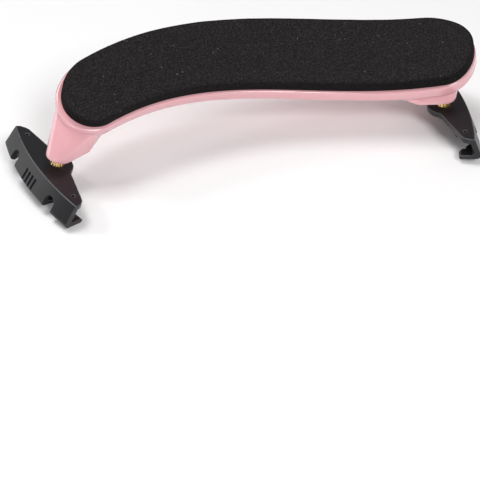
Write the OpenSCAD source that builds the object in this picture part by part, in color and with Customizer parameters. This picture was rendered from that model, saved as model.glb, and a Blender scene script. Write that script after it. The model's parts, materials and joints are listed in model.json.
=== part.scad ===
// Violin shoulder rest: a curved plate with a foam pad, on two screwed claw feet.
// Millimetres. +X towards the wide shoulder end, +Y to the side that the plate bows to, +Z up to the pad.
// The origin lies midway between the studs, level with the undersides of the foot plates.

/* [Body curve] */
// Distance between the two studs where they pass through the foot plates
stud_spacing = 144; // [136:1:150]
// Distance from the origin to the left end of the plate
plate_left = 67.5; // [65:0.5:72]
// Distance from the origin to the right end of the plate
plate_right = 83.5; // [79:0.5:87]
// How far the middle of the plate stands off the line between the studs
bow_reach = 20.1; // [17:0.5:24]
// How far the plate's ends come back from its middle
bow_depth = 16.2; // [12:0.5:19]
// Sideways lean of the plate's centre line in plan
bow_lean = 1.1; // [0:0.1:4]
// Extra fullness of the right end in plan
bow_skew = 5.1; // [0:0.1:6]
// Height of the plate's middle, on its centre line
mid_height = 21.3; // [19:0.1:25]
// Fall of the centre line through the middle
height_fall = 8.1; // [5:0.1:10]
// Drop of both ends below the middle
height_dip = 2.2; // [1:0.1:5]
// Rise of the right end, matched by the drop of the left one
height_twist = 7.8; // [6:0.1:10]

/* [Plate] */
// Half the plate's width at its middle
plate_half = 14.5; // [13:0.1:16]
// Half width gained towards the right end
plate_flare = 1.6; // [0:0.1:2.4]
// Half width lost towards both ends
plate_ease = 0.8; // [0:0.1:1.5]
// Thickness of the plate
plate_t = 5.2; // [4:0.1:6]
// Tilt of the plate across its middle, far edge up, in degrees
plate_tilt = 26.8; // [20:0.1:30]
// How much less the right end is tilted, and how much more the left one, in degrees
tilt_turn = 6.4; // [3:0.1:8]
// How much less both ends are tilted, in degrees
tilt_ease = 2.1; // [0:0.1:4]
// Rounding of the left end in plan, on its near side
end_round_left = 10.5; // [9.5:0.5:13]
// Rounding of the left end in plan, on its far side
end_round_left_far = 13; // [10:0.5:18]
// Rounding of the right end in plan, on its near side
end_round_right = 12; // [10:0.5:13]
// Rounding of the right end in plan, on its far side
end_round_right_far = 20; // [12:0.5:24]
// Rounding of the plate's lower edge
edge_round = 1; // [0.6:0.1:2]

/* [Pad] */
// Ledge of bare plate round the pad
pad_ledge = 1.1; // [0.5:0.1:1.5]
// How far the pad sits towards the right end
pad_shift = 0.8; // [0:0.1:1.2]
// Glue line between the film and the plate
film_glue = 0.1; // [0.08:0.01:0.15]
// Thickness of the adhesive film under the pad
film_t = 0.2; // [0.1:0.05:0.4]
// Thickness of the foam pad at its edge
pad_t = 4.8; // [3:0.1:6]
// How much the middle of the pad stands higher than its edge
pad_crown = 0.5; // [0:0.1:1]
// Rounding of the pad's upper edge
pad_round = 0.9; // [0.5:0.1:2]

/* [Label] */
// Length of the blank label under the plate
label_len = 30; // [20:1:40]
// Width of the label
label_w = 6.5; // [4:0.5:8]
// Thickness of the label
label_t = 0.25; // [0.15:0.05:0.4]
// Corner rounding of the label
label_round = 1; // [0.5:0.1:2]
// Place of the label's middle along the plate
label_x = -19.5; // [-30:0.5:10]
// Place of the label's middle across the plate
label_across = -8; // [-9:0.5:0]
// Glue line between label and plate
label_glue = 0.06; // [0.05:0.01:0.1]

/* [Legs] */
// Outward lean of the left stud, in degrees
lean_left = 18; // [17:0.5:19]
// Outward lean of the right stud, in degrees
lean_right = 5; // [0:0.5:12]
// Turn of the left foot about its stud, in degrees
turn_left = 20; // [0:0.5:30]
// Turn of the right foot about its stud, in degrees
turn_right = 4; // [0:0.5:30]
// Turn of the left leg's row of holes, in degrees
row_left = 19; // [14:0.5:22]
// Turn of the right leg's row of holes, in degrees
row_right = 14; // [10:0.5:18]
// Radius of a leg round its outer hole
leg_r = 4.5; // [4.2:0.1:5]
// Length of the left leg's flat end, from hole to hole end
leg_flat_left = 7; // [6:0.5:8]
// Length of the right leg's flat end
leg_flat_right = 8; // [6:0.5:9]
// Rise of the left leg's end from its outer to its inner end
leg_rise_left = 3.6; // [2:0.1:4.2]
// Rise of the right leg's end
leg_rise_right = 0.4; // [0:0.1:1]
// Step between the plate's edge and the left leg
leg_step_left = 0.5; // [0.3:0.1:1]
// Step between the plate's edge and the right leg
leg_step_right = 4.5; // [3:0.1:6]
// Distance from the left end over which the leg is as wide as the plate
leg_grip_left = 7.5; // [6:0.5:10]
// Distance from the right end over which the leg is wide
leg_grip_right = 17; // [14:0.5:20]
// Reach of the leg's inner slope from the left stud
slope_left = 26; // [25:0.5:28]
// Reach of the leg's inner slope from the right stud
slope_right = 22; // [18:0.5:24]
// Half width of the inner slope where it meets the plate
slope_half = 4.2; // [4:0.1:5]

/* [Threads] */
// Core diameter of the threaded holes
hole_d = 3.3; // [3:0.1:3.6]
// Depth of the threaded holes
hole_depth = 4.4; // [4.2:0.1:4.8]
// How much higher each spare hole of the left leg ends than the one before it
hole_rise_left = 4.4; // [3.5:0.1:5]
// The same in the right leg
hole_rise_right = 1.6; // [1:0.1:2]
// Distance between the two spare holes of a leg
hole_pitch = 5.8; // [5:0.1:6.5]
// Distance from the left stud to the next hole
hole_gap_left = 9.2; // [8:0.1:10]
// Distance from the right stud to the next hole
hole_gap_right = 6.1; // [5.5:0.1:7]
// Running clearance round studs and necks
run_clear = 0.05; // [0.03:0.01:0.08]

/* [Studs] */
// Length of the stud above its collar
shank_len = 4; // [3.4:0.1:4]
// Diameter of the fluted collar
collar_d = 5.3; // [5:0.1:6.5]
// Height of the fluted collar
collar_h = 2.8; // [2:0.1:3.2]
// Number of flutes round the collar
flutes = 14; // [10:1:18]
// Depth of a flute
flute_depth = 0.35; // [0.2:0.05:0.5]
// Diameter of the neck in the foot plate
neck_d = 2.9; // [2.6:0.1:3.2]
// Diameter of the anchor flange inside the foot plate
anchor_d = 4.6; // [4:0.1:5.2]
// Thickness of the anchor flange
anchor_t = 0.7; // [0.5:0.1:1]
// Depth of the neck's end above the plate's underside
neck_sink = 0.3; // [0.1:0.1:0.6]
// Gap between collar and leg, and between collar and foot plate
collar_gap = 0.1; // [0.05:0.05:0.3]

/* [Feet] */
// Thickness of the foot plate
foot_t = 2.2; // [2:0.1:3]
// Height of the channel between the foot plate and the lips
channel_h = 5.2; // [5:0.1:6]
// Thickness of the claws' lips
lip_t = 1.6; // [1.4:0.1:2.2]
// Thickness of the foot's outer wall
wall_t = 2; // [1.6:0.1:2.6]
// Radius of the foot's outer wall in plan
wall_r = 87; // [75:1:100]
// Outward flare of the outer wall, in degrees
wall_flare = 19; // [12:1:24]
// Distance from the stud to the plate's outer edge
plate_reach = 7.9; // [7.5:0.1:9]
// Depth of the claws' lips, from the wall's outside
lip_reach = 8.5; // [7:0.1:9.5]
// Half angle of the foot along its curved wall, in degrees
foot_angle = 16.2; // [15:0.1:18]
// Step of the plate's ends behind the ends of the claws
end_step = 0.3; // [0.2:0.1:1]
// Angle of the gaps between the claws, in degrees
claw_gap_angle = 8.8; // [8:0.1:10]
// Distance from the plate's underside down to the top of the gaps
claw_gap_top = 1; // [0.4:0.1:2]
// Width of the gaps between the claws
claw_gap = 4.6; // [2.4:0.1:5]
// Length of the slanted corner of each end claw's lip, beside the gap
lip_slant = 5.5; // [3:0.5:7]
// Radius of the plate's lobe round the stud
lobe_r = 6; // [5.5:0.1:7]
// Distance of the plate's inner edge behind the stud, beside the lobe
wing_back = 2.6; // [2:0.1:4]
// Distance of the plate's inner edge from the stud line at its ends
wing_in = 1.1; // [0:0.1:2]
// Rounding between the lobe and the plate's inner edge
wing_round = 3.5; // [2:0.1:5]
// Rounding of the plate's inner corners at its ends
wing_end_round = 3.6; // [1:0.1:4]
// Rounding under the claws
claw_round = 1.5; // [1:0.1:1.8]
// Diameter of the pin holes near the ends
pin_d = 1.2; // [0.8:0.1:1.6]
// Distance of the pin holes from the foot's ends
pin_end = 5; // [4:0.1:6]
// Distance of the pin holes outwards from the stud
pin_out = 2.7; // [2:0.1:3.5]
// Number of grooves in the middle of the outer wall
grooves = 4; // [2:1:6]
// Distance between the grooves
groove_pitch = 2.1; // [1.8:0.1:2.6]
// Length of a groove
groove_len = 4.8; // [3:0.1:5.4]
// Width of a groove
groove_w = 1.2; // [0.8:0.1:1.5]
// Depth of a groove
groove_depth = 0.9; // [0.3:0.1:1.2]

/* [Hidden] */
$fn = 48;

pink = "#f2c3cd";
foam_black = "#2a2a2c";
foot_black = "#3a3d40";
film_dark = "#232325";
label_grey = "#37332f";
brass = "#c9a550";

// The curves are given at this distance from the origin
curve_half = 70;
stations = 44;
last = stations - 1;
tip_share = 0.3;
label_stations = 16;
end_steps = 8;
// Steps of a rounded edge, in degrees, and sides of the feet's wide curves
round_step = 30;
wide_fn = 180;
eps = 0.01;
// How far a cut runs past a face
cut_over = 1;

// Heights along a stud, from the underside of its foot plate
collar_z = foot_t + collar_gap;
leg_z = collar_z + collar_h + collar_gap;
anchor_z = foot_t / 2 - anchor_t / 2;
floor_z = -channel_h - lip_t;

// Height of the pad's underside above the plate
pad_base = film_glue + film_t;

// Distances in from the pad's rounded edge at which its crown rises, and the shares of its height there
crown_insets = [2.5, 5, 7.5];
crown_shares = [0.5, 0.85, 1];

// Spare holes in a leg, beside the one that holds the stud
spare_holes = 2;

// Signs of the two sides
left = -1;
right = 1;

// Plate: centre line, cross direction and outline
function share(x) = x / curve_half;
function mid_y(x) = let (u = share(x)) bow_reach - bow_lean * u - bow_depth * u ^ 2 + bow_skew * u ^ 3;
function mid_z(x) =
    let (u = share(x)) mid_height - height_fall * u - height_dip * u ^ 2 + height_twist * u ^ 3;
function run_y(x) = let (u = share(x)) (-bow_lean - 2 * bow_depth * u + 3 * bow_skew * u ^ 2) / curve_half;
function run_z(x) =
    let (u = share(x)) (-height_fall - 2 * height_dip * u + 3 * height_twist * u ^ 2) / curve_half;
function unit(v) = v / norm(v);
function tilt_at(x) = plate_tilt - tilt_turn * share(x) - tilt_ease * share(x) ^ 2;
function across(x) = cos(tilt_at(x)) * unit([-run_y(x), 1, 0]) + [0, 0, sin(tilt_at(x))];
function lift_dir(x) = unit(cross([1, run_y(x), run_z(x)], across(x)));
function skin(x, w, lift) = [x, mid_y(x), mid_z(x)] + w * across(x) + lift * lift_dir(x);
function end_curve(t) = t >= 1 ? 1 : sqrt(max(0, 1 - (1 - t) ^ 2));
function half_width(x, inset, shift, side) =
    let (left_round = side > 0 ? end_round_left_far : end_round_left,
         right_round = side > 0 ? end_round_right_far : end_round_right)
    (plate_half + plate_flare * share(x) - plate_ease * share(x) ^ 2 - inset)
    * end_curve((x - shift + plate_left - inset) / (left_round - inset))
    * end_curve((plate_right - inset - x + shift) / (right_round - inset));
function station(i, inset) =
    let (a = 180 * (i + tip_share) / (last + 2 * tip_share), half = (plate_left + plate_right) / 2 - inset)
    (plate_right - plate_left) / 2 - half * cos(a);
function edge_point(x, inset, lift, side, shift = 0) =
    skin(x, side * half_width(x, inset, shift, side), lift);

// A ring runs along the near edge from left to right and back along the far edge
function ring(inset, lift, shift = 0) = concat(
    [for (i = [0 : last]) edge_point(station(i, inset) + shift, inset, lift, -1, shift)],
    [for (i = [last : -1 : 0]) edge_point(station(i, inset) + shift, inset, lift, 1, shift)]);
function end_station(side, inset, grip, k) =
    let (tip = (side == left ? plate_left : plate_right) - inset - eps)
    side * (tip - (grip - inset) * (1 - cos(90 * k / end_steps)));
function end_ring(side, inset, grip, lift) = concat(
    [for (k = [0 : end_steps]) edge_point(end_station(side, inset, grip, k), inset, lift, -1)],
    [for (k = [end_steps : -1 : 0]) edge_point(end_station(side, inset, grip, k), inset, lift, 1)]);

// Label outline, in the same form
function label_half(t) =
    let (gap = label_round - min(label_round, label_len / 2 - abs(t)))
    label_w / 2 - label_round + sqrt(label_round ^ 2 - gap ^ 2);
function label_station(i) = -label_len / 2 * cos(180 * i / (label_stations - 1));
function label_point(i, lift, side) =
    let (t = label_station(i))
    skin(label_x + t, label_across + side * label_half(t), lift);
function label_ring(lift) = concat(
    [for (i = [0 : label_stations - 1]) label_point(i, lift, -1)],
    [for (i = [label_stations - 1 : -1 : 0]) label_point(i, lift, 1)]);

// Faces of a stack of rings, closed by a ladder of cross lines below and above
function side_faces(count, layers) = [
    for (k = [0 : layers - 2]) for (j = [0 : count - 1])
        let (a = k * count + j, b = k * count + (j + 1) % count)
        each [[a, a + count, b + count], [a, b + count, b]]];
function low_faces(count) = [
    for (i = [0 : count / 2 - 2])
        each [[i, i + 1, count - 2 - i], [i, count - 2 - i, count - 1 - i]]];
function high_faces(count, base) = [
    for (f = low_faces(count)) [base + f[2], base + f[1], base + f[0]]];

module stack(rings) {
    count = len(rings[0]);
    layers = len(rings);
    polyhedron(
        points = [for (r = rings) each r],
        faces = concat(side_faces(count, layers), low_faces(count), high_faces(count, (layers - 1) * count)));
}

module at_stud(side) {
    mirror([side == left ? 1 : 0, 0, 0])
        translate([stud_spacing / 2, 0, 0])
            rotate([0, side == left ? -lean_left : -lean_right, 0])
                children();
}

module at_row(side) {
    at_stud(side)
        rotate([0, 0, side == left ? -row_left : -row_right])
            children();
}

module at_foot(side) {
    at_stud(side)
        rotate([0, 0, side == left ? -turn_left : -turn_right])
            children();
}

module plate() {
    stack(concat(
        [for (a = [0 : round_step : 90])
            ring(edge_round * (1 - sin(a)), -plate_t + edge_round * (1 - cos(a)))],
        [for (a = [0 : round_step : 90])
            ring(pad_ledge * (1 - cos(a)), -pad_ledge * (1 - sin(a)))]));
}

module leg(side) {
    step = side == left ? leg_step_left : leg_step_right;
    grip = side == left ? leg_grip_left : leg_grip_right;
    flat = side == left ? leg_flat_left : leg_flat_right;
    rise = side == left ? leg_rise_left : leg_rise_right;
    slope = side == left ? slope_left : slope_right;
    row = side == left ? row_left : row_right;
    slope_x = side * (stud_spacing / 2 - slope * cos(row));
    hull() {
        stack([end_ring(side, step, grip, -plate_t), end_ring(side, step, grip, -plate_t / 2)]);
        at_row(side)
            for (p = [[0, 0, 0], [-flat, 0, rise]])
                translate(p + [0, 0, leg_z])
                    cylinder(r = leg_r, h = edge_round);
        translate(skin(slope_x, slope * sin(row) - mid_y(slope_x), -plate_t))
            cylinder(r = slope_half, h = edge_round);
    }
}

module leg_holes(side) {
    gap = side == left ? hole_gap_left : hole_gap_right;
    rise = side == left ? hole_rise_left : hole_rise_right;
    at_row(side)
        for (k = [0 : spare_holes])
            translate([k == 0 ? 0 : -gap - (k - 1) * hole_pitch, 0, leg_z - cut_over])
                cylinder(d = hole_d, h = hole_depth + k * rise + cut_over);
}

module body_shell() {
    color(pink)
        difference() {
            union() {
                plate();
                leg(left);
                leg(right);
            }
            leg_holes(left);
            leg_holes(right);
        }
}

module pad_adhesive() {
    color(film_dark)
        stack([for (z = [film_glue, pad_base]) ring(pad_ledge, z, pad_shift)]);
}

module foam_pad() {
    top = pad_base + pad_t;
    crown_start = pad_ledge + pad_round;
    color(foam_black)
        stack(concat(
            [ring(pad_ledge, pad_base, pad_shift)],
            [for (a = [0 : round_step : 90])
                ring(pad_ledge + pad_round * (1 - cos(a)), top - pad_round * (1 - sin(a)), pad_shift)],
            [for (k = [0 : len(crown_insets) - 1])
                ring(crown_start + crown_insets[k], top + pad_crown * crown_shares[k], pad_shift)]));
}

module info_label() {
    color(label_grey)
        stack([label_ring(-plate_t - label_glue - label_t), label_ring(-plate_t - label_glue)]);
}

module stud() {
    difference() {
        union() {
            translate([0, 0, neck_sink])
                cylinder(d = neck_d, h = collar_z - neck_sink + eps);
            translate([0, 0, anchor_z])
                cylinder(d = anchor_d, h = anchor_t);
            translate([0, 0, collar_z])
                cylinder(d = collar_d, h = collar_h);
            translate([0, 0, collar_z])
                cylinder(d = hole_d - 2 * run_clear, h = collar_h + shank_len);
        }
        for (k = [0 : flutes - 1])
            rotate([0, 0, 360 / flutes * k])
                translate([collar_d / 2, 0, collar_z - cut_over])
                    cylinder(r = flute_depth, h = collar_h + 2 * cut_over);
    }
}

module left_stud() {
    color(brass) at_stud(left) stud();
}

module right_stud() {
    color(brass) at_stud(right) stud();
}

// Outside and inside of the flared wall at a height above the plate's underside
function wall_out(z) = plate_reach + (foot_t - z) * tan(wall_flare);
function wall_in(z) = wall_out(z) - wall_t / cos(wall_flare);
// The wall curves about an axis behind the stud
axis_back = wall_r - wall_out(floor_z);

module claw_profile() {
    round_z = floor_z + claw_round;
    round_r = wall_out(round_z) - claw_round / cos(wall_flare);
    lip_in = wall_out(floor_z) - lip_reach;
    translate([axis_back, 0]) {
        polygon([
            [wall_out(foot_t), foot_t],
            [round_r + claw_round * cos(wall_flare), round_z + claw_round * sin(wall_flare)],
            [round_r, floor_z],
            [lip_in + lip_t / 2, floor_z],
            [lip_in + lip_t / 2, floor_z + lip_t],
            [wall_in(floor_z + lip_t), floor_z + lip_t],
            [wall_in(0), 0],
            [wall_in(foot_t), foot_t]]);
        translate([round_r, round_z])
            circle(r = claw_round);
        translate([lip_in + lip_t / 2, floor_z + lip_t / 2])
            circle(d = lip_t);
    }
}

// Plan of the foot plate: its outer edge lies inside the curved wall, and it ends just behind the claws' ends
plan_r = axis_back + wall_in(0);
plan_angle = foot_angle - end_step / plan_r * 180 / PI;
plan_end = plan_r * [cos(plan_angle), sin(plan_angle)] - [axis_back, 0];
past_r = plan_r / cos(plan_angle / 2) + wing_end_round;

// A wing's inner edge runs from beside the lobe to the end, with a hollow rounding where it leaves the lobe,
// which the rounding just cuts into
hollow_lap = 0.05;
wing_start = [-wing_back, lobe_r];
wing_dir = unit([wing_in, plan_end[1]] - wing_start);
wing_side = [-wing_dir[1], wing_dir[0]];
hollow_start = wing_start + wing_round * wing_side;
hollow_along = hollow_start * wing_dir;
hollow_reach = lobe_r + wing_round - hollow_lap;
hollow_far = sqrt(hollow_along ^ 2 - hollow_start * hollow_start + hollow_reach ^ 2) - hollow_along;
hollow_mid = hollow_start + hollow_far * wing_dir;

// A wing's end lies on a line through the wall's axis, and its inner corner is rounded
end_side = [-sin(plan_angle), cos(plan_angle)];
corner_start = wing_start - wing_end_round * wing_side;
corner_far = (-wing_end_round - (corner_start + [axis_back, 0]) * end_side) / (wing_dir * end_side);
corner_mid = corner_start + corner_far * wing_dir;

// One wing, with its side of the lobe
module wing_outline() {
    difference() {
        polygon([
            [0, 0], hollow_mid, hollow_mid - wing_round * wing_side,
            corner_mid + wing_end_round * wing_side, corner_mid + wing_end_round * end_side,
            past_r * [cos(plan_angle), sin(plan_angle)] - [axis_back, 0], [past_r - axis_back, 0]]);
        translate(hollow_mid)
            circle(r = wing_round);
    }
    translate(corner_mid)
        circle(r = wing_end_round);
}

module foot_plate_outline() {
    intersection() {
        translate([-axis_back, 0])
            circle(r = plan_r, $fn = wide_fn);
        union() {
            circle(r = lobe_r);
            wing_outline();
            mirror([0, 1])
                wing_outline();
        }
    }
}

module claw_gap_cut() {
    round_z = -claw_gap_top - claw_gap / 2;
    start = axis_back + wall_out(floor_z) - lip_reach - cut_over;
    translate([start, -claw_gap / 2, floor_z - cut_over])
        cube([lip_reach + 2 * cut_over, claw_gap, round_z - floor_z + cut_over]);
    translate([start, 0, round_z])
        rotate([0, 90, 0])
            cylinder(d = claw_gap, h = lip_reach + 2 * cut_over);
}

// Slants the corner of an end claw's lip, from its inner edge to the wall at the gap
module lip_slant_cut() {
    lip_top = floor_z + lip_t;
    inner = axis_back + wall_out(floor_z) - lip_reach - cut_over;
    outer = axis_back + wall_in(lip_top) - eps;
    translate([0, 0, floor_z - cut_over])
        linear_extrude(lip_t + 2 * cut_over)
            polygon([[inner, 0], [outer, 0], [outer, claw_gap / 2], [inner, claw_gap / 2 + lip_slant]]);
}

module groove_cut() {
    middle = floor_z / 2;
    translate([axis_back + wall_out(middle), 0, middle])
        rotate([0, -wall_flare, 0])
            translate([-groove_depth, -groove_w / 2, -groove_len / 2])
                cube([groove_depth + cut_over, groove_w, groove_len]);
}

module foot() {
    groove_angle = groove_pitch / wall_r * 180 / PI;
    difference() {
        union() {
            linear_extrude(foot_t)
                foot_plate_outline();
            translate([-axis_back, 0, 0])
                rotate([0, 0, -foot_angle])
                    rotate_extrude(angle = 2 * foot_angle, $fn = wide_fn)
                        claw_profile();
        }
        translate([-axis_back, 0, 0]) {
            for (s = [0, 1])
                mirror([0, s])
                    rotate([0, 0, claw_gap_angle]) {
                        claw_gap_cut();
                        lip_slant_cut();
                    }
            for (k = [0 : grooves - 1])
                rotate([0, 0, (k - (grooves - 1) / 2) * groove_angle])
                    groove_cut();
        }
        for (s = [-1, 1])
            translate([pin_out, s * (plan_end[1] - pin_end), floor_z - cut_over])
                cylinder(d = pin_d, h = foot_t - floor_z + 2 * cut_over);
        translate([0, 0, -cut_over])
            cylinder(d = neck_d + 2 * run_clear, h = foot_t + 2 * cut_over);
        translate([0, 0, anchor_z - run_clear])
            cylinder(d = anchor_d + 2 * run_clear, h = anchor_t + 2 * run_clear);
    }
}

module left_foot() {
    color(foot_black) at_foot(left) foot();
}

module right_foot() {
    color(foot_black) at_foot(right) foot();
}

body_shell();
foam_pad();
pad_adhesive();
info_label();
left_stud();
right_stud();
left_foot();
right_foot();
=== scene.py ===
"""Builds the parts of a violin shoulder rest that show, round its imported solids, on a plain stage."""

import json
import math

import bmesh
import bpy
from bpy.props import FloatProperty, FloatVectorProperty, IntProperty, PointerProperty
from mathutils import Matrix, Vector, noise


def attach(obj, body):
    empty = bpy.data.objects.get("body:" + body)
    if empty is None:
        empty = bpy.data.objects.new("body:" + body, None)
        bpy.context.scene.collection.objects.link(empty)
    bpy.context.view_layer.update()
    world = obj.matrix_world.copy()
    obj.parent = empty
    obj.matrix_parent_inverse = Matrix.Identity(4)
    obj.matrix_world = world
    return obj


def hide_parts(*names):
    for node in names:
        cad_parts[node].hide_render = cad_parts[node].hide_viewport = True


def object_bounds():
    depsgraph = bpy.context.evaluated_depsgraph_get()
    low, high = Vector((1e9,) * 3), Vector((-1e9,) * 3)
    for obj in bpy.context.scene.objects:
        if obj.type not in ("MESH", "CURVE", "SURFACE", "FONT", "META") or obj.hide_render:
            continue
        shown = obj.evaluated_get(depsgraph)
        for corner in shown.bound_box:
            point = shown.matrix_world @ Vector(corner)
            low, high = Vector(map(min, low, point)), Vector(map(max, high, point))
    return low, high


bl_info = {
    "name": "Violin Shoulder Rest",
    "version": (1, 0, 0),
    "blender": (4, 5, 0),
    "location": "View3D > Sidebar > Shoulder Rest",
    "description": "Builds a padded shoulder rest that stands on two claw feet",
    "category": "Object",
}

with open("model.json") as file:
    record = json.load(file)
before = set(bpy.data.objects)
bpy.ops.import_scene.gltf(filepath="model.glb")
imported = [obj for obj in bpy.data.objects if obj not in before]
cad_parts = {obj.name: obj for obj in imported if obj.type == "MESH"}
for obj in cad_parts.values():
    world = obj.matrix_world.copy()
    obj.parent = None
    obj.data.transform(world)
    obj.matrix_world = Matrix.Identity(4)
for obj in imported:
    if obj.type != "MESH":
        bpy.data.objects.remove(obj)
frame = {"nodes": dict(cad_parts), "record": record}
CAD_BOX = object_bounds()

MM = 0.001
LEFT, RIGHT = 0, 1
SIDE_NAMES = ("left", "right")
SIDE_SIGNS = (-1, 1)
UP = Vector((0, 0, 1))
FAR_WAY = Vector((0, 1, 0))

# Points along each edge of the plate and of what lies on it, and how close the first one is to the tip
STATIONS = 130
TIP_SHARE = 0.3
# How far the outermost points of a leg stay off the plate's tip, where its width is nil
TIP_GAP = 0.01 * MM
# Steps of a rounded edge, and sides of a circle
ROUND_STEPS = 6
CIRCLE_SEGMENTS = 64
# How far a hole's cutter reaches out of the leg's end
CUTTER_OVERRUN = 3 * MM
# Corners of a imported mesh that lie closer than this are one
MERGE = 0.001 * MM
# Edges shorter than this are left over from a cut, and are dropped in this many passes
SLIVER = 0.01 * MM
SLIVER_PASSES = 4
# How far a pass of smoothing moves a point towards the middle of its neighbours
SMOOTH_SHARE = 0.5
# Rings up the pad's cut side, and the attribute that is 1 on it and carries the side's painted shade
PAD_SIDE_RINGS = 4
SHADED_SIDE_MARK = "painted_side_shade"
# Stretches of the label that bend with the plate, and steps of its rounded edge
LABEL_STRETCHES = 30
LABEL_EDGE_STEPS = 2
# Points round the collar for each flute
FLUTE_POINTS = 16
# Steps for each turn of the thread, and pitches from the start of its last tooth to the stud's upper end
THREAD_STEPS = 40
THREAD_STOP = 1.2
# The attribute that is 1 on the feet's upper edges, where a highlight is painted
EDGE_HIGHLIGHT_MARK = "painted_edge_highlight"
# Colour sockets of a Mix node
MIX_A, MIX_B, MIX_RESULT = 6, 7, 2


# Kinds of setting

def length(name, description, millimetres):
    return FloatProperty(name=name, description=description, default=millimetres * MM,
                         subtype="DISTANCE", unit="LENGTH", precision=5)


def angle(name, description, degrees):
    return FloatProperty(name=name, description=description, default=math.radians(degrees),
                         subtype="ANGLE", unit="ROTATION")


def lengths(name, description, left, right):
    return FloatVectorProperty(name=name, description=description + ", left and right", size=2,
                               default=(left * MM, right * MM), unit="LENGTH", precision=5)


def angles(name, description, left, right):
    return FloatVectorProperty(name=name, description=description + ", left and right", size=2,
                               default=(math.radians(left), math.radians(right)), unit="ROTATION")


def count(name, description, number):
    return IntProperty(name=name, description=description, default=number, min=1)


def share(name, description, value):
    return FloatProperty(name=name, description=description, default=value, min=0, max=1, subtype="FACTOR")


def colour(name, description, red, green, blue):
    """A colour written in the screen's 8-bit values and kept in linear light."""
    def linear(value):
        value /= 255
        return value / 12.92 if value <= 0.04045 else ((value + 0.055) / 1.055) ** 2.4
    return FloatVectorProperty(name=name, description=description, size=4, min=0, max=1, subtype="COLOR",
                               default=(linear(red), linear(green), linear(blue), 1))


class PlateSizes(bpy.types.PropertyGroup):
    """Curve and section of the moulded plate"""
    left: length("Left End", "Distance from the origin to the plate's left end", 67.5)
    right: length("Right End", "Distance from the origin to the plate's right end", 83.5)
    curve_half: length("Curve Half", "Distance from the origin at which the curves are given", 70)
    bow_reach: length("Bow Reach", "How far the plate's middle stands off the line between the studs", 20.1)
    bow_depth: length("Bow Depth", "How far the plate's ends come back from its middle", 16.2)
    bow_lean: length("Bow Lean", "Sideways lean of the centre line in plan", 1.1)
    bow_skew: length("Bow Skew", "Extra fullness of the right end in plan", 5.1)
    mid_height: length("Middle Height", "Height of the plate's middle on its centre line", 21.3)
    height_fall: length("Height Fall", "Fall of the centre line through the middle", 8.1)
    height_dip: length("Height Dip", "Drop of both ends below the middle", 2.2)
    height_twist: length("Height Twist", "Rise of the right end, matched by the left one's drop", 7.8)
    half: length("Half Width", "Half the plate's width at its middle", 14.5)
    flare: length("Flare", "Half width gained towards the right end", 1.6)
    ease: length("Ease", "Half width lost towards both ends", 0.8)
    thickness: length("Thickness", "Thickness of the plate", 5.2)
    tilt: angle("Tilt", "Tilt across the plate's middle, far edge up", 26.8)
    tilt_turn: angle("Tilt Turn", "How much less the right end is tilted, and more the left one", 6.4)
    tilt_ease: angle("Tilt Ease", "How much less both ends are tilted", 2.1)
    end_round: lengths("Near End Rounding", "Rounding of the plate's ends on their near side", 10.5, 12)
    end_round_far: lengths("Far End Rounding", "Rounding of the plate's ends on their far side", 13, 20)
    edge_round: length("Edge Rounding", "Rounding of the plate's lower edge", 1.0)
    rim_round: length("Rim Rounding", "Rounding of the plate's upper edge", 0.8)
    ledge: length("Ledge", "Bare plate round the pad", 1.1)


class LegSizes(bpy.types.PropertyGroup):
    """The two legs and the threaded holes in their ends"""
    row_turn: angles("Row Turn", "Turn of a leg's row of holes", 19, 14)
    end_height: length("End Height", "Height of the legs' ends along their studs", 5.2)
    radius: length("Radius", "Radius of a leg round its outer hole", 4.5)
    flat: lengths("Flat", "Length of a leg's end along its row of holes", 7, 8)
    rise: lengths("Rise", "Rise of a leg's end from its outer to its inner end", 3.6, 0.4)
    step: lengths("Step", "Step between the plate's edge and a leg", 0.8, 4.5)
    grip: lengths("Grip", "Distance from the plate's end over which a leg is wide", 7.5, 17)
    slope: lengths("Slope", "Reach of a leg's inner slope from its stud", 24.5, 22)
    slope_half: length("Slope Half", "Half width of the inner slope at the plate", 4.2)
    hole_radius: length("Hole Radius", "Radius of the threaded holes", 1.8)
    hole_depth: length("Hole Depth", "Depth of the stud's hole", 4.4)
    hole_rise: lengths("Hole Rise", "How much higher each spare hole ends than the one before it", 4.4, 1.6)
    hole_gap: lengths("Hole Gap", "Distance from a stud to the next hole", 9.2, 6.1)
    hole_pitch: length("Hole Pitch", "Distance between a leg's spare holes", 5.8)
    spare_holes: count("Spare Holes", "Open holes in each leg", 2)
    voxel: length("Voxel", "Grain of the mesh on which the legs' edges are rounded", 0.25)
    rounds: count("Rounds", "Passes of smoothing that round the legs' edges", 2)


class PadSizes(bpy.types.PropertyGroup):
    """The foam pad and the film that holds it"""
    shift: length("Shift", "How far the pad sits towards the right end", 0.8)
    glue: length("Glue", "Glue line between the film and the plate", 0.1)
    film: length("Film", "Thickness of the adhesive film", 0.2)
    thickness: length("Thickness", "Thickness of the pad at its edge", 4.8)
    crown: length("Crown", "How much the pad's middle stands higher than its edge", 0.5)
    crown_width: length("Crown Width", "Distance from the rounded edge to the full crown", 7.5)
    edge_round: length("Edge Rounding", "Rounding of the pad's upper edge", 0.9)
    unevenness: length("Unevenness", "How far the cut foam strays from its true shape", 0.07)
    uneven_size: length("Uneven Size", "Width of the foam's gentle bumps", 7.0)
    fill: share("Fill", "How firmly the pad is filled", 1.0)


class LabelSizes(bpy.types.PropertyGroup):
    """The blank label under the plate"""
    span: length("Length", "Length of the label", 30)
    width: length("Width", "Width of the label", 6.5)
    thickness: length("Thickness", "Thickness of the label", 0.25)
    corner: length("Corner", "Rounding of the label's corners", 1.0)
    edge: length("Edge", "Rounding of the label's edge", 0.08)
    along: length("Along", "Place of the label's middle along the plate", -19.5)
    across: length("Across", "Place of the label's middle across the plate", -8)
    glue: length("Glue", "Glue line between label and plate", 0.06)


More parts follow.
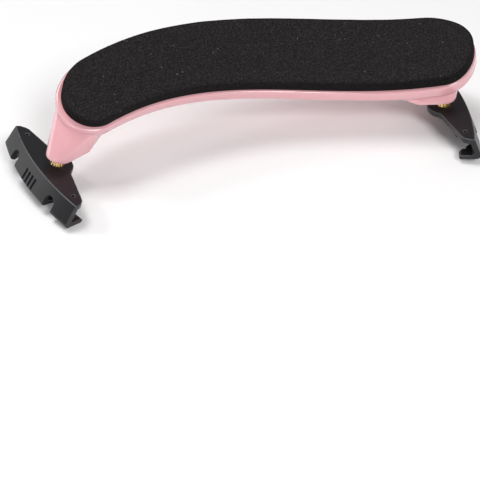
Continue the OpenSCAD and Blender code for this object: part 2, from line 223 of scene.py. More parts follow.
class StudSizes(bpy.types.PropertyGroup):
    """The brass studs"""
    end_bevel: length("End Bevel", "Bevel of the stud's two ends", 0.2)
    neck_sink: length("Neck Sink", "Height of the neck's end above the foot's underside", 0.3)
    neck_radius: length("Neck Radius", "Radius of the neck in the foot", 1.45)
    anchor_radius: length("Anchor Radius", "Radius of the flange inside the foot", 2.3)
    anchor_low: length("Anchor Low", "Height of the flange's underside", 0.75)
    anchor_high: length("Anchor High", "Height of the flange's top", 1.45)
    collar_low: length("Collar Low", "Height of the collar's underside", 2.3)
    collar_high: length("Collar High", "Height of the collar's top", 5.1)
    collar_radius: length("Collar Radius", "Radius of the fluted collar", 2.65)
    collar_edge: length("Collar Edge", "Chamfer of the collar", 0.2)
    collar_taper: length("Collar Taper", "How much slimmer the collar is at its top", 0.6)
    flutes: count("Flutes", "Flutes round the collar", 14)
    flute_depth: length("Flute Depth", "Depth of a flute", 0.35)
    thread_high: length("Thread High", "Height of the stud's upper end", 9.1)
    thread_crest: length("Thread Crest", "Radius over the thread", 1.6)
    thread_root: length("Thread Root", "Radius under the thread", 1.28)
    thread_pitch: length("Thread Pitch", "Pitch of the thread", 0.7)
    thread_gap: length("Thread Gap", "Gap between the collar and the thread", 0.05)
    thread_sunk: length("Thread Sunk", "How far the thread's base lies inside the core", 0.15)
    thread_fill: share("Thread Fill", "Share of the pitch that a tooth takes up", 0.94)


class FootSizes(bpy.types.PropertyGroup):
    """Softening of the moulded feet, and the highlight painted along their upper edges"""
    voxel: length("Voxel", "Grain of the mesh on which the edges are rounded", 0.18)
    rounds: count("Rounds", "Passes of smoothing that round the edges", 6)
    # Bends over which the painted highlight along the upper edges starts and becomes full
    edge_start: angle("Edge Start", "Bend at which an upper edge starts to show as rubbed", 12)
    edge_full: angle("Edge Full", "Bend at which an upper edge shows fully as rubbed", 45)


class Finishes(bpy.types.PropertyGroup):
    """Colours of the pieces"""
    pink: colour("Pink Plastic", "Glossy moulding of plate and legs", 227, 168, 175)
    foam: colour("Foam", "Cut face of the pad", 47, 44, 45)
    # Painted shade in the pad's open cells
    foam_pore_shade: colour("Foam Pores", "Open cells of the pad", 15, 14, 15)
    foam_glint: colour("Foam Specks", "Torn cell walls that catch the light", 80, 78, 79)
    # Painted glints: light specks that stand in for cell walls catching the light
    film: colour("Film", "Adhesive film", 30, 30, 32)
    label: colour("Label", "Blank label", 60, 55, 51)
    brass: colour("Brass", "Turned studs", 242, 205, 138)
    rubber: colour("Foot Rubber", "Moulded feet", 27, 27, 30)
    # Painted highlight: a lighter colour along the feet's upper edges
    rubber_edge_highlight: colour("Foot Edges", "Rubbed upper edges of the feet", 100, 100, 104)
    floor: colour("Floor", "Plain pale floor", 253, 253, 253)


class ShoulderRestSettings(bpy.types.PropertyGroup):
    """Everything that can be set on the shoulder rest"""
    plate: PointerProperty(type=PlateSizes)
    leg: PointerProperty(type=LegSizes)
    pad: PointerProperty(type=PadSizes)
    label: PointerProperty(type=LabelSizes)
    stud: PointerProperty(type=StudSizes)
    foot: PointerProperty(type=FootSizes)
    finish: PointerProperty(type=Finishes)


# Points on the bent plate

def centre_line(plate, x):
    """The plate's centre line at x: its point and its direction."""
    u = x / plate.curve_half
    y = plate.bow_reach - plate.bow_lean * u - plate.bow_depth * u ** 2 + plate.bow_skew * u ** 3
    z = plate.mid_height - plate.height_fall * u - plate.height_dip * u ** 2 + plate.height_twist * u ** 3
    y_rate = -plate.bow_lean - 2 * plate.bow_depth * u + 3 * plate.bow_skew * u ** 2
    z_rate = -plate.height_fall - 2 * plate.height_dip * u + 3 * plate.height_twist * u ** 2
    return Vector((x, y, z)), Vector((1, y_rate / plate.curve_half, z_rate / plate.curve_half))


def skin(plate, x, across, lift):
    """The point at x along the plate, at a distance across it and above its upper face."""
    middle, run = centre_line(plate, x)
    u = x / plate.curve_half
    tilt = plate.tilt - plate.tilt_turn * u - plate.tilt_ease * u ** 2
    side = math.cos(tilt) * Vector((-run.y, 1, 0)).normalized() + math.sin(tilt) * UP
    return middle + across * side + lift * run.cross(side).normalized()


def end_curve(t):
    """Share of the full width at a share t of the way along an end's rounding."""
    return math.sqrt(max(0, 1 - (1 - min(t, 1)) ** 2))


def half_width(plate, x, inset, shift, way):
    """Half the width at x, towards the near edge (-1) or the far edge (1)."""
    u = x / plate.curve_half
    full = plate.half + plate.flare * u - plate.ease * u ** 2 - inset
    rounds = plate.end_round_far if way > 0 else plate.end_round
    left = (x - shift + plate.left - inset) / (rounds[LEFT] - inset)
    right = (plate.right - inset - x + shift) / (rounds[RIGHT] - inset)
    return full * end_curve(left) * end_curve(right)


def edge_points(plate, stations, inset, lift, shift=0):
    """A ring along the near edge through the stations, and back along the far edge."""
    def point(x, way):
        return skin(plate, x, way * half_width(plate, x, inset, shift, way), lift)
    return [point(x, -1) for x in stations] + [point(x, 1) for x in reversed(stations)]


def plate_ring(plate, inset, lift, shift=0):
    """The whole outline of the plate, drawn in by inset, with its points closer together at the ends."""
    middle = (plate.right - plate.left) / 2 + shift
    half = (plate.left + plate.right) / 2 - inset
    last = STATIONS - 1 + 2 * TIP_SHARE
    turns = [math.pi * (i + TIP_SHARE) / last for i in range(STATIONS)]
    return edge_points(plate, [middle - half * math.cos(turn) for turn in turns], inset, lift, shift)


def quarter(steps):
    """Sines and cosines of a quarter turn, from 0 to 90 degrees."""
    turns = [math.pi / 2 * k / steps for k in range(steps + 1)]
    return [(math.sin(turn), math.cos(turn)) for turn in turns]


# Mesh tools

def move_ring(verts, points, place):
    """Moves each vertex of a ring to the point that its place in the ring gives."""
    for vert in verts:
        vert.co = points[vert[place]]


def loft(bm, rings):
    """Extrudes a closed ring from place to place; gives its first and its last vertices, in order."""
    place = bm.verts.layers.int.new("place")
    verts = bmesh.ops.create_circle(bm, segments=len(rings[0]), radius=1)["verts"]
    for index, vert in enumerate(verts):
        vert[place] = index
    move_ring(verts, rings[0], place)
    first = list(verts)
    edges = list(bm.edges)
    for points in rings[1:]:
        made = bmesh.ops.extrude_edge_only(bm, edges=edges)["geom"]
        verts = [item for item in made if isinstance(item, bmesh.types.BMVert)]
        fresh = set(verts)
        edges = [item for item in made
                 if isinstance(item, bmesh.types.BMEdge) and fresh.issuperset(item.verts)]
        move_ring(verts, points, place)
    return first, sorted(verts, key=lambda vert: vert[place])


def edges_along(verts):
    """The edges that join each vertex of a list to the next."""
    return [next(edge for edge in a.link_edges if edge.other_vert(a) == b) for a, b in zip(verts, verts[1:])]


def close_across(bm, ring):
    """Closes a long ring with a ladder of faces from its near edge to its far edge."""
    half = len(ring) // 2
    bmesh.ops.bridge_loops(bm, edges=edges_along(ring[:half]) + edges_along(ring[half:]))


def closed_loft(rings):
    """A closed body lofted through long rings."""
    bm = bmesh.new()
    for ring in loft(bm, rings):
        close_across(bm, ring)
    bmesh.ops.recalc_face_normals(bm, faces=bm.faces)
    return bm


def drop_slivers(bm):
    """Leaves out the very short edges and the faces without width that a cut leaves over."""
    for _ in range(SLIVER_PASSES):
        bmesh.ops.remove_doubles(bm, verts=bm.verts, dist=SLIVER)
        bmesh.ops.dissolve_degenerate(bm, edges=bm.edges, dist=SLIVER)
        bmesh.ops.triangulate(bm, faces=bm.faces)


def bm_to_mesh(bm, name):
    mesh = bpy.data.meshes.new(name)
    bm.to_mesh(mesh)
    bm.free()
    return mesh


def new_object(name, mesh):
    obj = bpy.data.objects.new(name, mesh)
    bpy.context.scene.collection.objects.link(obj)
    return obj


def settle(obj):
    """Applies an object's modifiers: gives the resulting mesh and removes the object."""
    bpy.context.view_layer.update()
    graph = bpy.context.evaluated_depsgraph_get()
    mesh = bpy.data.meshes.new_from_object(obj.evaluated_get(graph))
    bpy.data.objects.remove(obj)
    return mesh


def combine(mesh, other, operation):
    """Two closed meshes joined (UNION), or the second cut out of the first (DIFFERENCE)."""
    block = new_object("block", mesh)
    tool = new_object("tool", other)
    boolean = block.modifiers.new("combine", "BOOLEAN")
    boolean.operation = operation
    boolean.solver = "EXACT"
    boolean.object = tool
    result = settle(block)
    bpy.data.objects.remove(tool)
    return result


def soften(mesh, voxel, rounds):
    """The skin round everything in a mesh, on an even grid, with its edges smoothed."""
    block = new_object("soft_block", mesh)
    remesh = block.modifiers.new("grid", "REMESH")
    remesh.mode = "VOXEL"
    remesh.voxel_size = voxel
    smooth = block.modifiers.new("ease", "SMOOTH")
    smooth.factor = SMOOTH_SHARE
    smooth.iterations = rounds
    return settle(block)


def mark_edges(mesh, start, full):
    """Marks the edges that face up for a painted highlight, by their bend: 0 up to the start angle, 1 from
    the full angle.
    """
    bm = bmesh.new()
    bm.from_mesh(mesh)
    mark = bm.verts.layers.float.new(EDGE_HIGHLIGHT_MARK)
    for vert in bm.verts:
        bend = sum(edge.calc_face_angle_signed(0) for edge in vert.link_edges)
        vert[mark] = min(max((bend - start) / (full - start), 0), 1) * max(vert.normal.z, 0)
    bm.to_mesh(mesh)
    bm.free()


def finish_piece(name, mesh, material, body, node, crease=180):
    """Places a mesh on its body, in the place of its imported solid. Edges sharper than crease stay sharp."""
    mesh.materials.clear()
    mesh.materials.append(material)
    mesh.shade_smooth()
    mesh.set_sharp_from_angle(angle=math.radians(crease))
    piece = new_object(name, mesh)
    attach(piece, body)
    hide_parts(node)
    return piece


def stud_frame(side):
    """Turns a stud's own frame into the part's: x outwards, y along the foot, z up the stud."""
    name = SIDE_NAMES[side] + "_foot_turn"
    joint = next(j for j in frame["record"]["behaviour"]["joints"] if j["name"] == name)
    up = -Vector(joint["axis"]).normalized()
    out = SIDE_SIGNS[side] * FAR_WAY.cross(up)
    turn = Matrix((out, FAR_WAY, up)).transposed().to_4x4()
    return Matrix.Translation(joint["pos_m"]) @ turn


# Finishes

def new_group(name, inputs, outputs):
    """A shader node group with its sockets: gives the group, its entry and its exit."""
    group = bpy.data.node_groups.new(name, "ShaderNodeTree")
    for label, kind, default in inputs:
        socket = group.interface.new_socket(name=label, in_out="INPUT", socket_type=kind)
        socket.default_value = default
    for label, kind in outputs:
        group.interface.new_socket(name=label, in_out="OUTPUT", socket_type=kind)
    return group, group.nodes.new("NodeGroupInput"), group.nodes.new("NodeGroupOutput")


def add_node(tree, kind, values=None, **settings):
    """Adds a node with its settings, and with values on its input sockets, by name or number."""
    node = tree.nodes.new(kind)
    for key, value in settings.items():
        setattr(node, key, value)
    for key, value in (values or {}).items():
        node.inputs[key].default_value = value
    return node


def object_noise(tree, size, detail=3.0, roughness=0.55):
    """Noise on the object's own coordinates. Size is a socket that gives its grains per metre."""
    where = add_node(tree, "ShaderNodeTexCoord")
    grain = add_node(tree, "ShaderNodeTexNoise", {"Detail": detail, "Roughness": roughness})
    tree.links.new(where.outputs["Object"], grain.inputs["Vector"])
    tree.links.new(size, grain.inputs["Scale"])
    return grain.outputs["Fac"]


def spread_about(tree, value, middle, spread):
    """Noise brought from 0..1 to a middle value give or take a spread, both sockets."""
    centred = add_node(tree, "ShaderNodeMath", {1: 0.5}, operation="SUBTRACT")
    scaled = add_node(tree, "ShaderNodeMath", operation="MULTIPLY_ADD")
    tree.links.new(value, centred.inputs[0])
    tree.links.new(centred.outputs[0], scaled.inputs[0])
    tree.links.new(spread, scaled.inputs[1])
    tree.links.new(middle, scaled.inputs[2])
    return scaled.outputs[0]


def tone_group():
    """Colour that is a little lighter and darker from place to place."""
    group, entry, leave = new_group(
        "tone_drift",
        [("Color", "NodeSocketColor", (0.8, 0.8, 0.8, 1)), ("Size", "NodeSocketFloat", 60.0),
         ("Middle", "NodeSocketFloat", 1.0), ("Spread", "NodeSocketFloat", 0.1)],
        [("Color", "NodeSocketColor")])
    grain = object_noise(group, entry.outputs["Size"])
    level = spread_about(group, grain, entry.outputs["Middle"], entry.outputs["Spread"])
    shade = add_node(group, "ShaderNodeVectorMath", operation="SCALE")
    group.links.new(entry.outputs["Color"], shade.inputs[0])
    group.links.new(level, shade.inputs["Scale"])
    group.links.new(shade.outputs[0], leave.inputs["Color"])
    return group


def handling_group():
    """Roughness that is uneven where the surface has been handled."""
    group, entry, leave = new_group(
        "handling",
        [("Roughness", "NodeSocketFloat", 0.4), ("Size", "NodeSocketFloat", 90.0),
         ("Spread", "NodeSocketFloat", 0.1)],
        [("Roughness", "NodeSocketFloat")])
    grain = object_noise(group, entry.outputs["Size"], detail=5.0, roughness=0.6)
    level = spread_about(group, grain, entry.outputs["Roughness"], entry.outputs["Spread"])
    group.links.new(level, leave.inputs["Roughness"])
    return group


def relief_group():
    """Fine relief of a moulded or cut surface, from 0 to 1."""
    group, entry, leave = new_group(
        "fine_relief", [("Size", "NodeSocketFloat", 1500.0)], [("Height", "NodeSocketFloat")])
    grain = object_noise(group, entry.outputs["Size"], detail=4.0, roughness=0.65)
    group.links.new(grain, leave.inputs["Height"])
    return group


def place_group(tree, name, build, values):
    """Places a shared group in a material with its own values. The first material has the group built."""
    node = tree.nodes.new("ShaderNodeGroup")
    node.node_tree = bpy.data.node_groups.get(name) or build()
    for key, value in values.items():
        node.inputs[key].default_value = value
    return node


def new_material(name):
    """An empty node material: gives it, its tree and its shader."""
    material = bpy.data.materials.new(name)
    material.use_nodes = True
    tree = material.node_tree
    return material, tree, tree.nodes["Principled BSDF"]


def add_bump(tree, shader, height, depth):
    bump = add_node(tree, "ShaderNodeBump", {"Strength": 1.0, "Distance": depth})
    tree.links.new(height, bump.inputs["Height"])
    tree.links.new(bump.outputs["Normal"], shader.inputs["Normal"])


def surface(name, tint, tone, handling, relief, depth, constants):
    """A finish made of the three shared effects, with the shader's own constants."""
    material, tree, shader = new_material(name)
    shade = place_group(tree, "tone_drift", tone_group, {"Color": tint, **tone})
    sheen = place_group(tree, "handling", handling_group, handling)
    grain = place_group(tree, "fine_relief", relief_group, relief)
    tree.links.new(shade.outputs["Color"], shader.inputs["Base Color"])
    tree.links.new(sheen.outputs["Roughness"], shader.inputs["Roughness"])
    add_bump(tree, shader, grain.outputs["Height"], depth)
    for key, value in constants.items():
        shader.inputs[key].default_value = value
    return material


def pink_plastic(finish):
    return surface(
        "pink_plastic", finish.pink, {"Size": 30.0, "Spread": 0.03},
        {"Roughness": 0.26, "Size": 50.0, "Spread": 0.06}, {"Size": 900.0}, 0.0015 * MM,
        {"Coat Weight": 1.0, "Coat Roughness": 0.12, "Coat IOR": 1.6, "Subsurface Weight": 0.08,
         "Subsurface Scale": 1.5 * MM, "Subsurface Radius": (1.0, 0.45, 0.4)})


def foot_rubber(finish):
    """Satin moulding with a highlight painted along its upper edges."""
    material = surface(
        "foot_rubber", finish.rubber, {"Size": 160.0, "Spread": 0.25},
        {"Roughness": 0.34, "Size": 220.0, "Spread": 0.12}, {"Size": 1600.0}, 0.006 * MM,
        {"Specular IOR Level": 0.38})
    tree = material.node_tree
    base = tree.nodes["Principled BSDF"].inputs["Base Color"]
    # A lighter colour is painted along the upper edges as a highlight
    edge = add_node(tree, "ShaderNodeAttribute", attribute_name=EDGE_HIGHLIGHT_MARK)
    highlighted = add_node(tree, "ShaderNodeMix", {MIX_B: finish.rubber_edge_highlight}, data_type="RGBA")
    tree.links.new(edge.outputs["Fac"], highlighted.inputs["Factor"])
    tree.links.new(base.links[0].from_socket, highlighted.inputs[MIX_A])
    tree.links.new(highlighted.outputs[MIX_RESULT], base)
    return material


def brass(finish):
    return surface(
        "brass", finish.brass, {"Size": 700.0, "Spread": 0.2},
        {"Roughness": 0.18, "Size": 900.0, "Spread": 0.1}, {"Size": 2600.0}, 0.005 * MM,
        {"Metallic": 1.0})


def label_film(finish):
    return surface(
        "label_film", finish.label, {"Size": 220.0, "Spread": 0.15},
        {"Roughness": 0.42, "Size": 160.0, "Spread": 0.15}, {"Size": 1500.0}, 0.01 * MM, {})


def adhesive_film(finish):
    return surface(
        "adhesive_film", finish.film, {"Size": 300.0, "Spread": 0.2},
        {"Roughness": 0.6, "Size": 200.0, "Spread": 0.15}, {"Size": 1200.0}, 0.01 * MM, {})


# Cells in a metre of foam, the chance above which a cell takes a painted glint, and the tone of the cut
# side's painted shade
FOAM_CELLS = 2000.0
GLINT_ABOVE = 0.998
SIDE_SHADE = 0.4


def foam(finish):
    """Cut open-cell foam: pores darkened with painted shade between lighter walls, a few painted glints, and
    painted shade on the cut side.
    """
    material, tree, shader = new_material("foam")
    where = add_node(tree, "ShaderNodeTexCoord")
    cells = add_node(tree, "ShaderNodeTexVoronoi", {"Scale": FOAM_CELLS}, feature="F1")
    tree.links.new(where.outputs["Object"], cells.inputs["Vector"])
    ramp = add_node(tree, "ShaderNodeMapRange", {"From Min": 0.15, "From Max": 0.75})
    tree.links.new(cells.outputs["Distance"], ramp.inputs["Value"])
    # Each cell's middle takes the pores' painted shade, its walls the foam's own colour
    walls = add_node(tree, "ShaderNodeMix", {MIX_A: finish.foam_pore_shade, MIX_B: finish.foam}, data_type="RGBA")
    tree.links.new(ramp.outputs["Result"], walls.inputs["Factor"])
    drift = place_group(tree, "tone_drift", tone_group, {"Size": 1100.0, "Middle": 1.0, "Spread": 0.9})
    tree.links.new(walls.outputs[MIX_RESULT], drift.inputs["Color"])
    # A few cells take a lighter colour as painted glints
    chance = add_node(tree, "ShaderNodeSeparateColor")
    tree.links.new(cells.outputs["Color"], chance.inputs["Color"])
    glinting = add_node(tree, "ShaderNodeMath", {1: GLINT_ABOVE}, operation="GREATER_THAN")
    tree.links.new(chance.outputs["Red"], glinting.inputs[0])
    glints = add_node(tree, "ShaderNodeMix", {MIX_B: finish.foam_glint}, data_type="RGBA")
    tree.links.new(glinting.outputs[0], glints.inputs["Factor"])
    tree.links.new(drift.outputs["Color"], glints.inputs[MIX_A])
    # Painted shade: the cut side is darkened
    side = add_node(tree, "ShaderNodeAttribute", attribute_name=SHADED_SIDE_MARK)
    shade = add_node(tree, "ShaderNodeMapRange", {"To Min": 1.0, "To Max": SIDE_SHADE})
    tree.links.new(side.outputs["Fac"], shade.inputs["Value"])
    tone = add_node(tree, "ShaderNodeVectorMath", operation="SCALE")
    tree.links.new(glints.outputs[MIX_RESULT], tone.inputs[0])
    tree.links.new(shade.outputs["Result"], tone.inputs["Scale"])
    tree.links.new(tone.outputs[0], shader.inputs["Base Color"])
    sheen = place_group(tree, "handling", handling_group, {"Roughness": 0.92, "Spread": 0.1})
    tree.links.new(sheen.outputs["Roughness"], shader.inputs["Roughness"])
    grain = place_group(tree, "fine_relief", relief_group, {"Size": 1400.0})
    height = add_node(tree, "ShaderNodeMath", operation="ADD")
    tree.links.new(ramp.outputs["Result"], height.inputs[0])
    tree.links.new(grain.outputs["Height"], height.inputs[1])
    add_bump(tree, shader, height.outputs[0], 0.12 * MM)
    shader.inputs["Specular IOR Level"].default_value = 0.1
    return material


def pale_floor(finish):
    """A plain floor that is clear from below, so that the underside can be looked at."""
    material, tree, shader = new_material("pale_floor")
    shader.inputs["Base Color"].default_value = finish.floor
    shader.inputs["Roughness"].default_value = 0.8
    clear = add_node(tree, "ShaderNodeBsdfTransparent")
    facing = add_node(tree, "ShaderNodeNewGeometry")
    mix = add_node(tree, "ShaderNodeMixShader")
    tree.links.new(facing.outputs["Backfacing"], mix.inputs[0])
    tree.links.new(shader.outputs[0], mix.inputs[1])
    tree.links.new(clear.outputs[0], mix.inputs[2])
    tree.links.new(mix.outputs[0], tree.nodes["Material Output"].inputs["Surface"])
    return material


# Body: plate, legs and holes

def plate_body(plate):
    """The bare plate, lofted from its rounded lower edge to its rounded upper edge."""
    low = [(plate.edge_round * (1 - s), plate.edge_round * (1 - c) - plate.thickness)
           for s, c in quarter(ROUND_STEPS)]
    high = [(plate.rim_round * (1 - c), -plate.rim_round * (1 - s)) for s, c in quarter(ROUND_STEPS)]
    return closed_loft([plate_ring(plate, inset, lift) for inset, lift in low + high])


def row_frame(leg, side):
    """The stud's frame, turned so that x runs along the leg's row of holes."""
    return stud_frame(side) @ Matrix.Rotation(-leg.row_turn[side], 4, "Z")


def leg_end_ring(plate, leg, side, lift):
    """The plate's end, drawn in by the leg's step."""
    inset = leg.step[side]
    tip = (plate.left, plate.right)[side] - inset - TIP_GAP
    reach = leg.grip[side] - inset
    stations = [SIDE_SIGNS[side] * (tip - reach * (1 - c)) for _, c in quarter(2 * ROUND_STEPS)]
    return edge_points(plate, stations, inset, lift)


def leg_body(plate, leg, side):
    """The hull of the plate's end, the leg's end round its holes and its inner slope."""
    bm = bmesh.new()
    for lift in (-plate.thickness, -plate.thickness / 2):
        for point in leg_end_ring(plate, leg, side, lift):
            bm.verts.new(point)
    row = row_frame(leg, side)
    reach = leg.slope[side]
    slope_x = SIDE_SIGNS[side] * (abs(row.translation.x) - reach * math.cos(leg.row_turn[side]))
    slope_across = reach * math.sin(leg.row_turn[side]) - centre_line(plate, slope_x)[0].y
    discs = [(leg.slope_half, Matrix.Translation(skin(plate, slope_x, slope_across, -plate.thickness)))]
    for along, rise in ((0, 0), (-leg.flat[side], leg.rise[side])):
        discs.append((leg.radius, row @ Matrix.Translation((along, 0, leg.end_height + rise))))
    for radius, where in discs:
        for lift in (0, plate.edge_round):
            bmesh.ops.create_circle(bm, segments=CIRCLE_SEGMENTS, radius=radius,
                                    matrix=where @ Matrix.Translation((0, 0, lift)))
    bmesh.ops.delete(bm, geom=list(bm.edges), context="EDGES_FACES")
    hull = bmesh.ops.convex_hull(bm, input=list(bm.verts))
    bmesh.ops.delete(bm, geom=hull["geom_interior"], context="VERTS")
    bmesh.ops.recalc_face_normals(bm, faces=bm.faces)
    return bm


def hole_cutter(leg):
    """The stud holes and spare holes of both legs."""
    bm = bmesh.new()
    for side in (LEFT, RIGHT):
        row = row_frame(leg, side)
        for k in range(leg.spare_holes + 1):
            along = 0 if k == 0 else -leg.hole_gap[side] - (k - 1) * leg.hole_pitch
            deep = leg.hole_depth + k * leg.hole_rise[side] + CUTTER_OVERRUN
            middle = Matrix.Translation((along, 0, leg.end_height - CUTTER_OVERRUN + deep / 2))
            bmesh.ops.create_cone(bm, cap_ends=True, segments=CIRCLE_SEGMENTS, radius1=leg.hole_radius,
                                  radius2=leg.hole_radius, depth=deep, matrix=row @ middle)
    bmesh.ops.recalc_face_normals(bm, faces=bm.faces)
    return bm_to_mesh(bm, "hole_cutter")


class SHOULDERREST_OT_body(bpy.types.Operator):
    """Model the pink plate with its two legs and their threaded holes"""
    bl_idname = "shoulder_rest.body"
    bl_label = "Plate and Legs"

    def execute(self, context):
        settings = context.scene.shoulder_rest
        plate, leg = settings.plate, settings.leg
        mesh = bm_to_mesh(plate_body(plate), "plate")
        for side in (LEFT, RIGHT):
            block = soften(bm_to_mesh(leg_body(plate, leg, side), "leg"), leg.voxel, leg.rounds)
            mesh = combine(mesh, block, "UNION")
        bm = bmesh.new()
        bm.from_mesh(combine(mesh, hole_cutter(leg), "DIFFERENCE"))
        drop_slivers(bm)
        finish_piece("pink_body", bm_to_mesh(bm, "pink_body"), pink_plastic(settings.finish),
                     "rest_body", "body_shell", crease=30)
        return {"FINISHED"}


# Pad, film and label

def pad_rings(plate, pad):
    """From the film up the cut side, round the upper edge and over the crown."""
    base = pad.glue + pad.film
    top = base + pad.thickness
    side = [(plate.ledge, base + (pad.thickness - pad.edge_round) * k / PAD_SIDE_RINGS)
            for k in range(PAD_SIDE_RINGS)]
    rounding = [(plate.ledge + pad.edge_round * (1 - c), top - pad.edge_round * (1 - s))
                for s, c in quarter(ROUND_STEPS)]
    crown = [(plate.ledge + pad.edge_round + pad.crown_width * (1 - c), top + pad.crown * s)
             for s, c in quarter(2 * ROUND_STEPS)[1:]]
    return [plate_ring(plate, inset, lift, pad.shift) for inset, lift in side + rounding + crown]


class SHOULDERREST_OT_pad(bpy.types.Operator):
    """Model the foam pad and the adhesive film under it"""
    bl_idname = "shoulder_rest.pad"
    bl_label = "Foam Pad"

    def execute(self, context):
        settings = context.scene.shoulder_rest
        plate, pad = settings.plate, settings.pad
        rings = pad_rings(plate, pad)
        bm = closed_loft(rings)
        bm.normal_update()
        bm.verts.index_update()
        # The cut side is marked for its painted shade, which fades out over the rounded edge
        mark = bm.verts.layers.float.new(SHADED_SIDE_MARK)
        for vert in bm.verts:
            past_side = vert.index // len(rings[0]) - PAD_SIDE_RINGS
            vert[mark] = 1 - min(max(past_side / ROUND_STEPS, 0), 1)
            stray = noise.noise(vert.co / pad.uneven_size)
            vert.co += vert.normal * stray * pad.unevenness
        piece = finish_piece("foam_cushion", bm_to_mesh(bm, "foam_cushion"), foam(settings.finish),
                             "rest_body", "foam_pad")
        rings = [plate_ring(plate, plate.ledge, lift, pad.shift) for lift in (pad.glue, pad.glue + pad.film)]
        film = bm_to_mesh(closed_loft(rings), "adhesive_film")
        finish_piece("adhesive_film", film, adhesive_film(settings.finish),
                     "rest_body", "pad_adhesive")
        return {"FINISHED"}


class SHOULDERREST_OT_label(bpy.types.Operator):
    """Model the blank label under the plate"""
    bl_idname = "shoulder_rest.label"
    bl_label = "Blank Label"

    def execute(self, context):
        settings = context.scene.shoulder_rest
        plate, label = settings.plate, settings.label
        bm = bmesh.new()
        bmesh.ops.create_cube(bm, size=1, matrix=Matrix.Diagonal(
            (label.span, label.width, label.thickness, 1)))
        corners = [edge for edge in bm.edges if abs(edge.verts[0].co.z - edge.verts[1].co.z) > 0]
        bmesh.ops.bevel(bm, geom=corners, offset=label.corner, segments=ROUND_STEPS, profile=0.5,
                        affect="EDGES", material=-1)
        rim = [edge for edge in bm.edges if all(vert.co.z < 0 for vert in edge.verts)]
        bmesh.ops.bevel(bm, geom=rim, offset=label.edge, segments=LABEL_EDGE_STEPS, profile=0.5,
                        affect="EDGES", material=-1)
        for k in range(1, LABEL_STRETCHES):
            x = label.span * (k / LABEL_STRETCHES - 0.5)
            bmesh.ops.bisect_plane(bm, geom=bm.verts[:] + bm.edges[:] + bm.faces[:],
                                   plane_co=(x, 0, 0), plane_no=(1, 0, 0))
        middle = -plate.thickness - label.glue - label.thickness / 2
        for vert in bm.verts:
            vert.co = skin(plate, label.along + vert.co.x, label.across + vert.co.y, middle + vert.co.z)
        drop_slivers(bm)
        bmesh.ops.recalc_face_normals(bm, faces=bm.faces)
        finish_piece("blank_label", bm_to_mesh(bm, "blank_label"), label_film(settings.finish),
                     "rest_body", "info_label")
        return {"FINISHED"}


# Studs and feet

def fluted_ring(stud, height, radius, cut_share, steps):
    """A circle at a height, with flutes cut into it to a share of their full depth."""
    points = []
    pitch = 2 * math.pi / stud.flutes
    for k in range(steps):
        turn = 2 * math.pi * k / steps
        off = ((turn + pitch / 2) % pitch - pitch / 2) * radius
        cut = math.sqrt(max(0, stud.flute_depth ** 2 - off ** 2)) * cut_share
        points.append(Vector(((radius - cut) * math.cos(turn), (radius - cut) * math.sin(turn), height)))
    return points


def stud_body(stud):
    """Neck, anchor flange, fluted collar and core of a stud, standing on its own axis."""
    low, high, edge = stud.collar_low, stud.collar_high, stud.collar_edge
    slim = stud.collar_radius - stud.collar_taper
    bevel = stud.end_bevel
    # Height, radius and share of the flutes' depth, from the neck's end upwards
    outline = [
        (stud.neck_sink, stud.neck_radius - bevel, 0), (stud.neck_sink + bevel, stud.neck_radius, 0),
        (stud.anchor_low, stud.neck_radius, 0), (stud.anchor_low, stud.anchor_radius, 0),
        (stud.anchor_high, stud.anchor_radius, 0), (stud.anchor_high, stud.neck_radius, 0),
        (low, stud.neck_radius, 0), (low, stud.collar_radius - edge, 0),
        (low + edge, stud.collar_radius, 1), (high - edge, slim, 1), (high, slim - edge, 0),
        (high, stud.thread_root, 0), (stud.thread_high - bevel, stud.thread_root, 0),
        (stud.thread_high, stud.thread_root - bevel, 0)]
    steps = FLUTE_POINTS * stud.flutes
    bm = bmesh.new()
    loft(bm, [fluted_ring(stud, *place, steps) for place in outline])
    bmesh.ops.holes_fill(bm, edges=[edge for edge in bm.edges if edge.is_boundary], sides=0)
    return bm


def add_thread(bm, stud):
    """Winds a thread round the stud's core, from the collar to the upper end."""
    pitch = stud.thread_pitch
    width = stud.thread_fill * pitch
    base = stud.thread_root - stud.thread_sunk
    start = stud.collar_high + stud.thread_gap
    turns = (stud.thread_high - start) / pitch - THREAD_STOP
    steps = round(turns * THREAD_STEPS)
    tooth = [bm.verts.new(point) for point in (
        (base, 0, start), (stud.thread_crest, 0, start + width / 2), (base, 0, start + width))]
    bmesh.ops.spin(bm, geom=[bm.faces.new(tooth)], cent=(0, 0, 0), axis=(0, 0, 1), steps=steps,
                   dvec=(0, 0, pitch / THREAD_STEPS), angle=2 * math.pi * steps / THREAD_STEPS)


class SHOULDERREST_OT_studs(bpy.types.Operator):
    """Model the two threaded brass studs with their fluted collars"""
    bl_idname = "shoulder_rest.studs"
    bl_label = "Brass Studs"

    def execute(self, context):
        settings = context.scene.shoulder_rest
        material = brass(settings.finish)
        for side in (LEFT, RIGHT):
            bm = stud_body(settings.stud)
            add_thread(bm, settings.stud)
            bmesh.ops.transform(bm, matrix=stud_frame(side), verts=bm.verts)
            bmesh.ops.recalc_face_normals(bm, faces=bm.faces)
            name = SIDE_NAMES[side]
            mesh = bm_to_mesh(bm, name + "_brass_stud")
            finish_piece(name + "_brass_stud", mesh, material, name + "_screw", name + "_stud",
                         crease=35)
        return {"FINISHED"}


